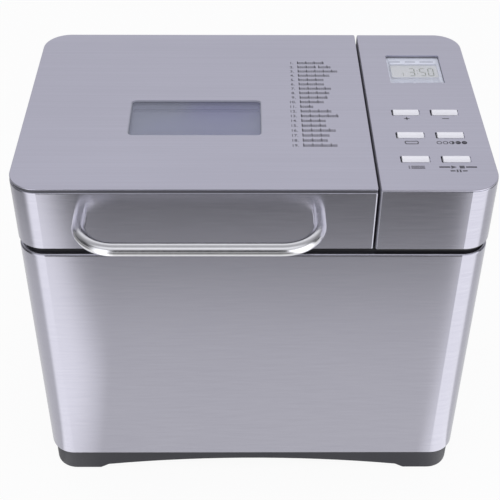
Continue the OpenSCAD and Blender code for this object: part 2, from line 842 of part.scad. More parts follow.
module drive_shaft() color("silver") at_body() at_drive() {
    rod(shaft_r, pulley_z - 2, coupling_z + coupling_bore);
}

// Moulded wheel: a thin web with six ribs and six holes between hub and rim
module drive_pulley() color("gray") at_body() at_drive() {
    r = drive_pulley_d / 2;
    rim_t = 5;
    hub_r = shaft_r + 6;
    web_t = 3;
    web_r = r - rim_t + 0.1;
    web_z = pulley_z + (pulley_h - web_t) / 2;
    pulley_rim(r, r - rim_t);
    difference() {
        union() {
            rod(hub_r, pulley_z, bearing_z - 1);
            rod(web_r, web_z, web_z + web_t);
            for (a = [0:60:359]) rotate([0, 0, a])
                slab(hub_r - 2, web_r, -1, 1, pulley_z + 1, pulley_z + pulley_h - 1);
        }
        rod(shaft_r, 0, bearing_z);
        for (a = [30:60:389]) rotate([0, 0, a]) translate([(r + hub_r) / 2 - 2, 0, 0])
            rod(r / 6, 0, pulley_z + pulley_h);
    }
}

module motor_rotor() color("dimgray") at_body() at_motor() {
    rod(motor_shaft_r, pulley_z - 1, stack_z + stack_h + 14);
    rod(rotor_r, stack_z - 2, stack_z + stack_h + 2);
}

module motor_pulley() color("gray") at_body() at_motor() {
    difference() {
        union() {
            pulley_rim(motor_pulley_d / 2, motor_shaft_r);
            rod(2 * motor_shaft_r, pulley_z + pulley_h - over, pulley_z + pulley_h + 7);
        }
        rod(motor_shaft_r, 0, chassis_top);
    }
}

// Ribbed belt: two wraps and two straight runs with one profile
module belt_profile(r) {
    ribs = [for (i = [0:rib_count - 1]) let (z = belt_z + i * rib_pitch)
        each [[r, z + 0.45], [r - rib_depth + 0.3, z + rib_pitch / 2], [r, z + rib_pitch - 0.45]]];
    polygon(concat([[r + belt_t - belt_gap, belt_z], [r, belt_z]], ribs,
        [[r, belt_z + belt_w], [r + belt_t - belt_gap, belt_z + belt_w]]));
}

module drive_belt() color("black") at_body() {
    span = motor_x - chamber_x;
    r_big = drive_pulley_d / 2 + belt_gap;
    r_small = motor_pulley_d / 2 + belt_gap;
    lean = asin((r_big - r_small) / span);
    run = span * cos(lean);
    at_drive() rotate([0, 0, 90 - lean]) rotate_extrude(angle = 180 + 2 * lean)
        belt_profile(r_big);
    at_motor() rotate([0, 0, lean - 90]) rotate_extrude(angle = 180 - 2 * lean)
        belt_profile(r_small);
    for (side = [-1, 1]) scale_y(side) at_drive() rotate([0, 0, 90 - lean])
        rotate([90, 0, 0]) linear_extrude(run) belt_profile(r_big);
}

module wings(z0, z1, inner_r, turn) {
    for (a = [0, 180]) rotate([0, 0, a + turn])
        slab(inner_r, wing_r, -wing_w / 2, wing_w / 2, z0, z1);
}

module drive_coupling() color("silver") at_body() at_drive() {
    difference() {
        union() {
            rod(shaft_r + 4, coupling_z - 1, coupling_top);
            wings(coupling_z + 1, coupling_top, shaft_r + 2, 0);
        }
        rod(shaft_r, 0, coupling_z + coupling_bore);
    }
}

// ---- Pan, its wire handle and the paddle ------------------------------------------------

pan_edge_r = 10;
rim_bead_r = 1.8;
base_cup_r = 43;
cup_wall = 3;
cup_plate = 4;
rest_gap = 0.3;
boss_r = 8;
boss_top = pan_z + pan_wall + 5;
seal_top = boss_top + 3;
paddle_z = seal_top + 0.5;
paddle_shaft_top = paddle_z + 18;
rim_top = pan_z + pan_h;
bail_r = bail_d / 2;
ear_t = 3.6;
pivot_top = rim_top - 6.5;                  // upper end of the ears
ear_r = 4;
pivot_z = pivot_top - ear_r - 0.4;
arm_x = pan_l / 2 + ear_t + 1 + bail_r;
bail_len = pan_d / 2 + 2 * rim_bead_r + 1.6 + bail_r;
bail_bend = 14;
ear_w = 16;
ear_h = 12;

module bread_pan() color("darkgray") at_body() {
    difference() {
        union() {
            swept(pan) {
                r = pan_edge_r;
                translate([-pan_wall, pan_z + r]) square([pan_wall, pan_h - r - rim_bead_r]);
                translate([-r, pan_z + r]) bend(r, pan_wall, 3);
                translate([0, rim_top - rim_bead_r]) circle(rim_bead_r);
            }
            plate(inset(pan, pan_edge_r), pan_z, pan_z + pan_wall);
            for (side = [-1, 1]) translate([chamber_x, 0, 0]) scale_x(side) {
                x = pan_l / 2 - pan_wall / 2;
                slab(x, pan_l / 2 + ear_t, -ear_w / 2, ear_w / 2, pivot_top - ear_h, pivot_top);
            }
        }
        at_drive() rod(boss_r, 0, pan_z + pan_wall + over);
        for (side = [-1, 1]) translate([chamber_x, 0, 0]) scale_x(side)
            along_x(bail_r + run_gap, pan_l / 2, arm_x, 0, pivot_z);
    }
}

module scale_x(side) {
    if (side > 0) children();
    else mirror([1, 0, 0]) children();
}

module pan_base() color("gray") at_body() at_drive() {
    difference() {
        union() {
            rod(base_cup_r, seat_floor + seat_flange_t + rest_gap, pan_z);
            rod(boss_r, pan_z - over, boss_top);
        }
        rod(base_cup_r - cup_wall, 0, pan_z - cup_plate);
        rod(shaft_r + run_gap, 0, boss_top + over);
    }
}

module pan_seal() color("firebrick") at_body() at_drive() {
    difference() {
        rod(boss_r, boss_top, seal_top);
        rod(shaft_r + run_gap, 0, seal_top + over);
    }
}

// Folded forwards: the bar lies in front of the pan under its rim
module pan_bail() color("silver") at_body() translate([chamber_x, 0, pivot_z]) {
    for (side = [-1, 1]) scale_x(side) {
        along_x(bail_r, pan_l / 2 + 1, arm_x, 0, 0);
        translate([arm_x, 0, 0]) sphere(r = bail_r);
        translate([arm_x, 0, 0]) rotate([90, 0, 0]) rod(bail_r, 0, bail_len - bail_bend);
        translate([arm_x - bail_bend, bail_bend - bail_len, 0]) rotate([0, 0, -90])
            rotate_extrude(angle = 90) translate([bail_bend, 0]) circle(bail_r);
        along_x(bail_r, 0, arm_x - bail_bend, -bail_len, 0);
    }
}

module paddle_shaft() color("silver") at_body() at_drive() {
    rod(shaft_r, coupling_top + 1, paddle_shaft_top);
}

module pan_coupling() color("silver") at_body() at_drive() {
    difference() {
        union() {
            rod(wing_r, coupling_top + 1.5, pan_z - cup_plate - 0.5);
            wings(coupling_z + 2.5, coupling_top + 2, 10, 90);
        }
        rod(shaft_r, 0, pan_z);
    }
}

// Hub with a fin that drops towards its end
module kneading_paddle() color("darkslategray") at_body() at_drive() {
    fin_l = 46;
    fin_t = 5;
    fin_h = 30;
    nose = 9;
    hub_r = shaft_r + 7;
    hub_h = 20;
    chamfer = 3;
    translate([0, 0, paddle_z]) difference() {
        union() {
            rod(hub_r, 0, hub_h - chamfer);
            translate([0, 0, hub_h - chamfer]) cylinder(r1 = hub_r, r2 = hub_r - chamfer, h = chamfer);
            rotate([90, 0, 0]) linear_extrude(fin_t, center = true) polygon([[0, 0.5], [fin_l, 0.5],
                [fin_l, 7], [fin_l - nose, hub_h], [20, fin_h], [shaft_r, fin_h], [shaft_r, hub_h - 4],
                [0, hub_h - 4]]);
        }
        rod(shaft_r, -over, paddle_shaft_top - paddle_z);
    }
}

// ---- Lid --------------------------------------------------------------------------------

liner_gap = 2;                              // liner's flange over the lid's lower edge
liner_t = 0.8;
liner_z = head_z + liner_gap;
seal_gap = 0.3;
gasket_w = 5;
recess = inset(chamber, gasket_w - gasket_lap + 1);
pane_gap = 4.5;
glass_top = plate_z;
seal_bead = 0.6;                            // bead of sealant where the glass meets the plate
skirt_lift = 0.5;                           // lid's lower edge over the control block's
plate_back = 1.3;                           // front of the lid's plate behind the skirt's front
inner_pane_z = glass_top - 2 * pane_t - pane_gap;
roof_z = inner_pane_z - liner_t;
recess_edge_r = 8;
recess_lean = 3;
frame_wall = 2;
pocket_wall = 2.5;
pane_lap = 3;
handle_z = machine_h - handle_drop;
handle_spots = [handle_x - handle_w / 2, handle_x + handle_w / 2];
handle_screw_r = 2;
handle_boss = 7;
inner_wall = skirt_fold + 0.2;              // frame's wall inside the skirt's folded edge
screw_boss_l = 8;

// What the lid may not reach behind its hinge: beyond the circle that clears the deck
module swing_cut() {
    difference() {
        slab(-half_w - over, half_w + over, hinge_y, half_d + over, head_z - over, hinge_z);
        hinge_rod(hinge_up, -half_w - 2 * over, half_w + 2 * over);
    }
}

module tower_notches() {
    half = tower_w / 2 + notch_gap;
    for (x = towers) slab(x - half, x + half, hinge_y - tower_r - notch_gap, half_d + over,
        head_z - over, hinge_z + tower_r + 2.5);
}

module lid_plate() color("lightgray") at_body() {
    difference() {
        soft_plate([lid[0], lid[1], lid[2] + plate_back, lid[3], lid[4]], plate_z, machine_h,
            plate_edge_r);
        plate(window, plate_z - over, machine_h + over);
    }
}

module lid_skirt() color("silver") at_body() {
    difference() {
        swept(lid) folded_sheet(head_z + skirt_lift, skirt_top, skirt_fold_r, 0, skirt_fold);
        swing_cut();
        tower_notches();
        for (x = handle_spots) translate([x, 0, handle_z]) rotate([90, 0, 0])
            rod(handle_screw_r, half_d - 5, half_d + 5);
    }
}

module lid_frame() color([0.1, 0.1, 0.11]) at_body() {
    wall = inset(lid, inner_wall);
    pocket = inset(window, -pane_lap);
    front = -half_d + sheet_t;
    difference() {
        union() {
            plate(inset(lid, skirt_fold_r), skirt_top, plate_z);
            ring(wall, frame_wall, liner_z + liner_t, skirt_top + over / 2);
            ring(inset(pocket, -pocket_wall), pocket_wall, roof_z + liner_t, skirt_top + over / 2);
            intersection() {
                difference() {
                    hinge_rod(hinge_up, lid[0], lid[1]);
                    hinge_rod(hinge_up - 2, lid[0] - over, lid[1] + over);
                }
                slab(lid[0], lid[1], hinge_y, half_d, head_z - over, hinge_z);
                plate(inset(lid, sheet_t), head_z - over, hinge_z);
            }
            for (x = towers, side = [-1, 1]) {
                near = tower_w / 2 + notch_gap;
                x0 = side > 0 ? x + near : x - near - knuckle_t;
                hinge_rod(tower_r, x0, x0 + knuckle_t);
                slab(x0, x0 + knuckle_t, hinge_y - tower_r, hinge_y + tower_r, hinge_z,
                    skirt_top + over / 2);
            }
            for (x = handle_spots) translate([x, front, handle_z]) rotate([-90, 0, 0])
                rod(handle_boss, 0, screw_boss_l);
        }
        plate(pocket, roof_z - over, plate_z + over);
        swing_cut();
        tower_notches();
        for (x = towers) hinge_rod(hinge_pin_d / 2 + run_gap, x - pin_half, x + pin_half);
        for (x = handle_spots) translate([x, front - over, handle_z]) rotate([-90, 0, 0])
            rod(handle_screw_r, 0, screw_boss_l + 2 * over);
    }
}

module lid_window() color("slategray", 0.5) at_body() {
    plate(inset(window, -pane_lap), glass_top - pane_t, glass_top);
}

module inner_window() color("slategray", 0.5) at_body() {
    plate(inset(window, -pane_lap), inner_pane_z, inner_pane_z + pane_t);
}

module window_seals() color("black") at_body() {
    ring(window, seal_bead, glass_top, glass_top + seal_bead);
    ring(inset(window, -pane_lap), pane_lap + 1, inner_pane_z + pane_t, glass_top - pane_t);
}

module lid_liner() color("lightgray") at_body() {
    wall = inset(lid, sheet_t);
    r = recess_edge_r;
    difference() {
        union() {
            plate([wall[0], wall[1], wall[2], hinge_y, wall[4]], liner_z, liner_z + liner_t);
            swept(recess) {
                lean = recess_lean;
                polygon([[0, liner_z], [liner_t, liner_z], [liner_t - lean, roof_z - r + liner_t],
                    [-lean, roof_z - r + liner_t]]);
                translate([liner_t - lean - r, roof_z - r + liner_t]) bend(r, liner_t, 0);
            }
            plate(inset(recess, recess_lean + r - liner_t), roof_z, roof_z + liner_t);
        }
        plate(recess, liner_z - over, liner_z + liner_t);
        plate(window, roof_z - over, roof_z + over);
        tower_notches();
    }
}

module lid_gasket() color("firebrick") at_body() {
    ring(inset(chamber, -gasket_lap), gasket_w, deck_top + seal_gap, liner_z);
}

module handle() color("silver") at_body() translate([0, -half_d, handle_z]) {
    r = handle_d / 2;
    leg = handle_reach - handle_bend;
    difference() {
        union() {
            for (side = [-1, 1]) translate([handle_x, 0, 0]) scale_x(side) {
                translate([handle_w / 2, 0, 0]) rotate([90, 0, 0]) rod(r, 0, leg);
                translate([handle_w / 2 - handle_bend, -leg, 0]) rotate([0, 0, -90])
                    rotate_extrude(angle = 90) translate([handle_bend, 0]) circle(r);
            }
            along_x(r, handle_spots[0] + handle_bend, handle_spots[1] - handle_bend,
                -handle_reach, 0);
        }
        for (x = handle_spots) translate([x, 0, 0]) rotate([90, 0, 0])
            rod(handle_screw_r, -over, leg + 2);
    }
}

module handle_screws() color("silver") at_body() {
    boss_end = half_d - sheet_t - screw_boss_l;
    for (x = handle_spots) translate([x, 0, handle_z]) rotate([90, 0, 0]) {
        rod(handle_screw_r, boss_end, half_d + handle_reach - handle_bend);
        rod(4, boss_end - 3, boss_end);
    }
}

base_tray();
foot_pads();
base_screws();
body_shell();
rear_cover();
cord_gland();
top_deck();
hinge_pins();
control_housing();
control_plate();
lcd_lens();
lcd_bezel();
lcd_module();
button_guide();
control_board();
power_board();
run_capacitor();
chassis();
oven_chamber();
pan_seat();
heating_element();
element_clips();
temperature_sensor();
thermal_fuse();
motor_mounts();
motor_stator();
bearing_housing();
drive_bushes();
drive_belt();
button_plus();
button_minus();
button_loaf();
button_browning();
button_menu();
button_start();
motor_rotor();
motor_pulley();
drive_shaft();
drive_pulley();
drive_coupling();
bread_pan();
pan_base();
pan_seal();
pan_bail();
paddle_shaft();
pan_coupling();
kneading_paddle();
lid_plate();
lid_skirt();
lid_frame();
lid_window();
window_seals();
lid_liner();
inner_window();
lid_gasket();
handle();
handle_screws();
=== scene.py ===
# A bread machine with a brushed steel body, a hinged lid and a fixed block of controls.
# Lengths are in metres. X runs to the right, Y to the back and Z up from the table.
from math import cos, radians, sin

import bmesh
import bpy
from mathutils import Matrix, Vector


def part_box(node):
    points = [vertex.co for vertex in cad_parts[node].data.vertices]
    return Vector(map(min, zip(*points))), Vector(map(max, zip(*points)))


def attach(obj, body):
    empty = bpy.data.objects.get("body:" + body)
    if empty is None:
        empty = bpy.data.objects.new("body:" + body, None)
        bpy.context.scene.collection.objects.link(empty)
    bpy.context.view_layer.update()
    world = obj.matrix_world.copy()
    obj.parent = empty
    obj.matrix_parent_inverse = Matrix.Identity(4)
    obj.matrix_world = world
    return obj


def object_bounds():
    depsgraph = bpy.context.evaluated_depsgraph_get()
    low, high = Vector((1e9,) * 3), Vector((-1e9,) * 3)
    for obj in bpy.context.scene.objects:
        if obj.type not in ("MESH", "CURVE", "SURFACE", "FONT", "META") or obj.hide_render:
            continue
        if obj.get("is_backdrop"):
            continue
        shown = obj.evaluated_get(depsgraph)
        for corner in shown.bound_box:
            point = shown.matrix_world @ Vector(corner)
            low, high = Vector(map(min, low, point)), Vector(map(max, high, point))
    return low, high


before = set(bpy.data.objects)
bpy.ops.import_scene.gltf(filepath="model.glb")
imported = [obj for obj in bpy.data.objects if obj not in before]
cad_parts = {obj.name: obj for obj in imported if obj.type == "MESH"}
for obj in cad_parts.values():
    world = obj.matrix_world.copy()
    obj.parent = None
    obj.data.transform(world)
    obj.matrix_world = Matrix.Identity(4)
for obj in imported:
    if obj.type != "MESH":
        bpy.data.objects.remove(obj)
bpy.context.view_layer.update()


# ---- Camera ------------------------------------------------------------------------------
# It stands in front of the machine and looks 40 degrees down on it, level to within a third
# of a degree.
camera = bpy.data.objects.new("camera", bpy.data.cameras.new("camera"))
bpy.context.scene.collection.objects.link(camera)
camera.data.lens = 78.95
camera.data.sensor_width = 36
downwards = 39.95
turn = Matrix.Rotation(radians(-0.51), 4, "Z")
tilt = Matrix.Rotation(radians(90 - downwards), 4, "X")
roll = Matrix.Rotation(radians(0.33), 4, "Z")
stand = Matrix.Translation((-0.0086, -0.7277, 0.79))
camera.matrix_world = stand @ turn @ tilt @ roll
bpy.context.scene.camera = camera


# ---- Studio ------------------------------------------------------------------------------
# A pale table under a soft box. Steel mirrors a bright strip of the table beside each front
# corner, a table that grows darker away from the machine, and a dark room over a low sill in
# front. To the eye the table and the room are plain white.
bpy.context.scene.view_settings.view_transform = "Standard"


class Wire:
    """One socket of a material or of the world, which takes part in sums as a number does."""

    def __init__(self, tree, socket=None):
        self.tree = tree
        self.socket = socket

    def node(self, kind, settings, values, output=0):
        """Adds a node with these settings and input values, and gives one of its outputs."""
        made = self.tree.nodes.new(kind)
        for name, setting in settings.items():
            setattr(made, name, setting)
        for name, value in values.items():
            if isinstance(value, Wire):
                self.tree.links.new(value.socket, made.inputs[name])
            else:
                made.inputs[name].default_value = value
        return Wire(self.tree, made.outputs[output])

    def maths(self, operation, *values):
        """Adds a Math node that works on these values."""
        return self.node("ShaderNodeMath", {"operation": operation}, dict(enumerate(values)))

    def at_least(self, other):
        """The greater of the two."""
        return self.maths("MAXIMUM", self, other)

    def size(self):
        """This without its sign."""
        return self.maths("ABSOLUTE", self)

    def mix(self, colour, other):
        """The first colour where this is 0 and the other where it is 1."""
        values = {0: self, 6: colour, 7: other}
        return self.node("ShaderNodeMix", {"data_type": "RGBA"}, values, 2)

    def between(self, low, high):
        """0 below the low value, 1 above the high one, and a soft step between."""
        values = {"Value": self, "From Min": low, "From Max": high}
        return self.node("ShaderNodeMapRange", {"interpolation_type": "SMOOTHSTEP"}, values)

    def axis(self, name):
        """The X, Y or Z part of a place or a direction."""
        return self.node("ShaderNodeSeparateXYZ", {}, {0: self}, name)

    def past(self, low):
        """How far this is over a value, and 0 below it."""
        return (self - low).at_least(0)

    def angle_from(self, other):
        """The angle in radians of a slope that rises by this over the other."""
        return self.maths("ARCTAN2", self, other)

    def __add__(self, other):
        return self.maths("ADD", self, other)

    def __sub__(self, other):
        return self.maths("SUBTRACT", self, other)

    def __rsub__(self, other):
        return self.maths("SUBTRACT", other, self)

    def __mul__(self, other):
        return self.maths("MULTIPLY", self, other)

    __radd__ = __add__
    __rmul__ = __mul__


def white_to_the_eye(tree):
    """1 for a ray that comes from the camera, and for one that a glass pane lets through."""
    rays = Wire(tree).node("ShaderNodeLightPath", {}, {}, "Is Camera Ray")
    through = Wire(tree).node("ShaderNodeLightPath", {}, {}, "Is Transmission Ray")
    return rays.at_least(through)


def seen_in_steel(tree):
    """1 for a ray that comes off a shiny face."""
    return Wire(tree).node("ShaderNodeLightPath", {}, {}, "Is Glossy Ray")


bpy.ops.object.select_all(action="DESELECT")
bpy.ops.mesh.primitive_plane_add(size=8, location=(0, 0, 0))
table = bpy.context.active_object
table.name = "table"
table_white = bpy.data.materials.new("table_white")
table_white.use_nodes = True
tree = table_white.node_tree
tree.nodes.clear()
ground = Wire(tree).node("ShaderNodeTexCoord", {}, {}, "Object")
across, along = ground.axis("X"), ground.axis("Y")
half_width, half_depth = 0.18, 0.095
corner_x, corner_y = 0.158, -0.073
strips_start_y = -0.114
strip_glow = 1.67
left_fan = {"outer": 54, "blur": 16}
right_fan = {"outer": 78, "blur": 7}


def beyond(angle, outer, blur):
    """1 for angles over an outer one, with a soft step round it. All are in degrees."""
    return angle.between(radians(outer - blur), radians(outer + blur))


def strip(side, inner, bend, lean, soft, **fan):
    """A strip that opens outwards from a front corner, from a bent line to an outer angle."""
    beside = across * side
    ahead = strips_start_y - along
    line = ahead.past(bend) * lean + inner
    crisper_ahead = 1 + ahead * ahead * 10
    near_edge = ((beside - line) * crisper_ahead).between(-soft, 0.02)
    round_corner = (beside - corner_x).angle_from(corner_y - along)
    return near_edge * (1 - beyond(round_corner, **fan))


# Around the strips the table grows darker up to half a metre away from the machine
reach_x = across.size().past(half_width)
reach_y = along.size().past(half_depth)
squares = reach_x * reach_x * 0.5 + reach_y * reach_y
away = squares.maths("SQRT", squares)
tone = 0.925 - away.between(0.15, 0.49) * 0.85 + away.between(0.5, 0.8) * 0.4
left_strip = strip(-1, inner=0.164, bend=0.12, lean=0.3, soft=0.08, **left_fan)
right_strip = strip(1, inner=0.159, bend=0, lean=0.28, soft=0.04, **right_fan)
side_strip = strip(1, inner=0.159, bend=0, lean=0.28, soft=0.04, outer=165, blur=7)
tone = tone.at_least((left_strip + right_strip) * strip_glow).at_least(side_strip * 0.85)
in_steel = seen_in_steel(tree)
strength = in_steel * tone + (1 - in_steel)
matt = Wire(tree).node("ShaderNodeBsdfDiffuse", {}, {"Color": (0.8, 0.8, 0.82, 1)})
glow = Wire(tree).node("ShaderNodeEmission", {}, {"Color": (1, 1, 1, 1), "Strength": strength})
seen = (white_to_the_eye(tree) * 0.94).at_least(in_steel)
shown = seen.node("ShaderNodeMixShader", {}, {0: seen, 1: matt, 2: glow})
output = tree.nodes.new("ShaderNodeOutputMaterial")
tree.links.new(shown.socket, output.inputs["Surface"])
table.data.materials.append(table_white)
table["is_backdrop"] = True

world = bpy.data.worlds.new("studio_room")
bpy.context.scene.world = world
world.use_nodes = True
tree = world.node_tree
direction = Wire(tree).node("ShaderNodeTexCoord", {}, {}, "Generated")
height, backwards = direction.axis("Z"), direction.axis("Y")
forwards = backwards * -1
ceiling = height.between(0.3, 0.9) * 0.45
back_wall = backwards.between(0.2, 0.8) * 0.65
sill = forwards.between(0.1, 0.4) * height.between(0.4, 0.7) * (1 - height.between(0.88, 0.98))
low_walls = height.between(0, 0.25) * (1 - forwards.between(-0.3, 0.3))
mirrored = (0.05 + ceiling + back_wall + sill * 0.6).at_least(low_walls * 0.3)
for side, fan in ((-1, left_fan), (1, right_fan)):
    turned = (direction.axis("X") * side).angle_from(forwards)
    panel = beyond(turned, 14.5, 2.5) * (1 - height.between(0.3, 0.6)) * (
        1 - beyond(turned, **fan))
    mirrored = mirrored.at_least(panel * strip_glow)
in_steel = seen_in_steel(tree)
unmirrored = 0.45 + backwards.between(-0.5, 0.4) * 0.4
room = in_steel * mirrored + (1 - in_steel) * unmirrored
room = room.at_least(white_to_the_eye(tree))
background = tree.nodes["Background"]
background.inputs["Color"].default_value = (0.97, 0.97, 1, 1)
tree.links.new(room.socket, background.inputs["Strength"])

top_light = bpy.data.lights.new("top_light", "AREA")
top_light.shape = "RECTANGLE"
top_light.size = 1.4
top_light.size_y = 1.0
top_light.energy = 7
soft_box = bpy.data.objects.new("top_light", top_light)
bpy.context.scene.collection.objects.link(soft_box)
soft_box.location = (0, -0.65, 1.6)
aim = Vector((0, -0.1, 0.1)) - soft_box.location
soft_box.rotation_euler = aim.to_track_quat("-Z", "Y").to_euler()
soft_box.visible_camera = False
soft_box.visible_glossy = False


# ---- Base --------------------------------------------------------------------------------
# One charcoal moulding with fine grain carries everything. Four rubber pads are pushed into
# its corner feet, and six screws go up through it into the chassis.
def new_finish(name, **shader_values):
    """A material, its shader, and the place on the piece that its patterns follow."""
    material = bpy.data.materials.new(name)
    material.use_nodes = True
    shader = material.node_tree.nodes["Principled BSDF"]
    for socket, value in shader_values.items():
        shader.inputs[socket.replace("_", " ")].default_value = value
    place = Wire(material.node_tree).node("ShaderNodeTexCoord", {}, {}, "Object")
    return material, shader, place


def feed(shader, socket, wire):
    wire.tree.links.new(wire.socket, shader.inputs[socket])


def opaque(colour, share=1.0):
    """A colour with its alpha, made darker where only a share of it is asked for."""
    return tuple(c * share for c in colour) + (1,)


def pattern(place, scale, detail=3, stretch=(1, 1, 1)):
    """Cloudy noise from 0 to 1, closer set along the axes that are stretched more."""
    spread = place.node("ShaderNodeMapping", {}, {"Vector": place, "Scale": stretch})
    values = {"Vector": spread, "Scale": scale, "Detail": detail}
    return place.node("ShaderNodeTexNoise", {}, values, "Fac")


def relief(height, depth, strength=1.0):
    """Dents and ridges of that depth in metres, for a shader's Normal."""
    values = {"Height": height, "Distance": depth, "Strength": strength}
    return height.node("ShaderNodeBump", {}, values, "Normal")


def dress(material, *nodes):
    """Gives carried-over pieces their finish."""
    for node in nodes:
        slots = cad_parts[node].data.materials
        slots.clear()
        slots.append(material)


def moulded(name, colour, roughness, grain=0.00003):
    """Moulded plastic: a fine spark grain, and a slow change of tone where hands rub it."""
    material, shader, place = new_finish(name)
    tone = pattern(place, 22)
    fine = pattern(place, 2600, 2)
    mottle = tone * 0.5 + fine * 0.5
    feed(shader, "Base Color", mottle.mix(opaque(colour, 0.85), opaque(colour)))
    feed(shader, "Roughness", tone * 0.12 + (roughness - 0.06))
    feed(shader, "Normal", relief(fine, grain, 0.5))
    return material


dress(moulded("charcoal_plastic", (0.042, 0.042, 0.053), 0.55), "base_tray")
dress(moulded("pad_rubber", (0.022, 0.022, 0.024), 0.8, grain=0.00006), "foot_pads")


def turned_steel(name, colour, roughness):
    """Bare or plated metal, finely rubbed all over."""
    material, shader, place = new_finish(name, Metallic=1.0)
    rub = pattern(place, 400)
    feed(shader, "Base Color", rub.mix(opaque(colour, 0.9), opaque(colour)))
    feed(shader, "Roughness", rub * 0.12 + (roughness - 0.06))
    feed(shader, "Normal", relief(rub, 0.00001))
    return material


zinc = turned_steel("zinc_steel", (0.55, 0.56, 0.58), 0.35)
dress(zinc, "base_screws")


# ---- Lower shell -------------------------------------------------------------------------
# One sheet of stainless steel goes round the body, brushed along its length, with its upper
# and lower edges folded in. A plastic cover with vent slots closes the back.
def brushed_steel(name, stretch, light, dark, roughness, streak=0.0, unbrushed=None):
    """Stainless sheet: long brush lines, some deeper than others, and slow cloudy patches.

    unbrushed takes the place on the piece and gives 1 where the sheet is left dull.
    """
    material, shader, place = new_finish(name, Metallic=1.0, Anisotropic=streak,
                                         Anisotropic_Rotation=0.25)
    lines = pattern(place, 1, 4, stretch)
    deep = pattern(place, 1, 2, tuple(s * 0.45 for s in stretch))
    cloud = pattern(place, 9, 2)
    tone = lines * 0.6 + deep * 0.2 + cloud * 0.2
    colour = tone.between(0.25, 0.75).mix(opaque(dark), opaque(light))
    rough = lines * 0.06 + (roughness - 0.03)
    if unbrushed:
        dull = unbrushed(place)
        colour = dull.mix(colour, (0.38, 0.38, 0.44, 1))
        rough = rough + dull * 0.4
        feed(shader, "Metallic", 1 - dull)
    feed(shader, "Base Color", colour)
    feed(shader, "Roughness", rough)
    feed(shader, "Normal", relief(lines, 0.00002, 0.15))
    return material


wall_finish = {"stretch": (45, 45, 1700), "light": (0.455, 0.45, 0.515),
               "dark": (0.405, 0.4, 0.465), "roughness": 0.16, "streak": 1.0}
wall_steel = brushed_steel("brushed_wall", **wall_finish)
dress(wall_steel, "body_shell")
dress(moulded("cover_plastic", (0.045, 0.045, 0.052), 0.6), "rear_cover")
black_plastic = moulded("black_plastic", (0.014, 0.014, 0.017), 0.5)
dress(black_plastic, "cord_gland")


# ---- Deck and hinge ----------------------------------------------------------------------
# A black moulding closes the top of the body round the oven, and shows as a dark line under
# the lid. Two steel pins in its towers carry the lid.
dress(black_plastic, "top_deck")
dress(zinc, "hinge_pins")


# ---- Chassis and electrics ---------------------------------------------------------------
# A folded steel plate holds the oven and the motor. The power board stands on it, with the
# motor's run capacitor beside it.
dress(zinc, "chassis")


def circuit_board(name):
    """Green lacquer over raised copper tracks."""
    material, shader, place = new_finish(name, Roughness=0.4)
    tracks = pattern(place, 140, 0).between(0.49, 0.53)
    feed(shader, "Base Color", tracks.mix((0.012, 0.06, 0.028, 1), (0.03, 0.13, 0.05, 1)))
    feed(shader, "Normal", relief(tracks, 0.00003))
    return material


dress(circuit_board("circuit_board"), "power_board", "control_board")
dress(turned_steel("capacitor_can", (0.6, 0.6, 0.62), 0.4), "run_capacitor")


# ---- Oven --------------------------------------------------------------------------------
# A deep chamber of aluminised sheet with a looped heating element on its floor, a seat that
# the pan turns into, and a probe and a thermal fuse on its right wall.
def oven_sheet(name):
    """Aluminised steel: a fine spangle, and brown heat tint low down near the element."""
    material, shader, place = new_finish(name, Metallic=1.0)
    spangle = pattern(place, 320, 2)
    heat = 1 - place.axis("Z").between(0.055, 0.12)
    clean = spangle.mix((0.48, 0.48, 0.49, 1), (0.6, 0.6, 0.6, 1))
    feed(shader, "Base Color", (heat * 0.6).mix(clean, (0.36, 0.3, 0.23, 1)))
    feed(shader, "Roughness", spangle * 0.15 + 0.33)
    feed(shader, "Normal", relief(spangle, 0.00002))
    return material


dress(oven_sheet("aluminised_sheet"), "oven_chamber", "pan_seat")
dress(turned_steel("element_sheath", (0.1, 0.09, 0.08), 0.6), "heating_element")
dress(zinc, "element_clips", "temperature_sensor")
dress(moulded("ceramic_white", (0.72, 0.7, 0.65), 0.3), "thermal_fuse")


# ---- Motor and drive ---------------------------------------------------------------------
# The motor stands on rubber mounts and turns a large nylon pulley with a ribbed belt. The
# drive shaft runs in two bronze bushes and ends in a winged coupling under the pan.
dress(black_plastic, "motor_mounts")
laminated, shader, place = new_finish("laminated_steel", Metallic=0.9)
sheets_per_metre = 1400
sheets = place.axis("Z") * sheets_per_metre
layer = sheets.maths("PINGPONG", sheets, 0.5) * 2
feed(shader, "Base Color", layer.mix((0.16, 0.16, 0.17, 1), (0.32, 0.32, 0.33, 1)))
feed(shader, "Roughness", layer * 0.1 + 0.45)
feed(shader, "Normal", relief(layer, 0.0001))
dress(laminated, "motor_stator", "motor_rotor")
cast_alloy = turned_steel("cast_alloy", (0.44, 0.44, 0.46), 0.45)
dress(cast_alloy, "bearing_housing", "pan_coupling", "drive_coupling")
dress(turned_steel("bronze", (0.5, 0.32, 0.13), 0.4), "drive_bushes")
dress(moulded("belt_rubber", (0.018, 0.018, 0.02), 0.75), "drive_belt")
dress(moulded("pulley_nylon", (0.13, 0.13, 0.14), 0.5), "drive_pulley", "motor_pulley")
bright_steel = turned_steel("bright_steel", (0.62, 0.62, 0.64), 0.2)
dress(bright_steel, "drive_shaft", "paddle_shaft")


# ---- Pan and paddle ----------------------------------------------------------------------
# A lift-out pan of pressed aluminium with a dark non-stick coating and a wire handle. Its
# base carries the paddle's shaft through a silicone seal.
def non_stick(name, colour):
    """Sprayed coating with fine pale flecks."""
    material, shader, place = new_finish(name)
    fleck = pattern(place, 1500, 1).between(0.66, 0.72)
    feed(shader, "Base Color", fleck.mix(opaque(colour), (0.25, 0.25, 0.26, 1)))
    feed(shader, "Roughness", fleck * 0.1 + 0.38)
    feed(shader, "Normal", relief(pattern(place, 700, 2), 0.00003))
    return material


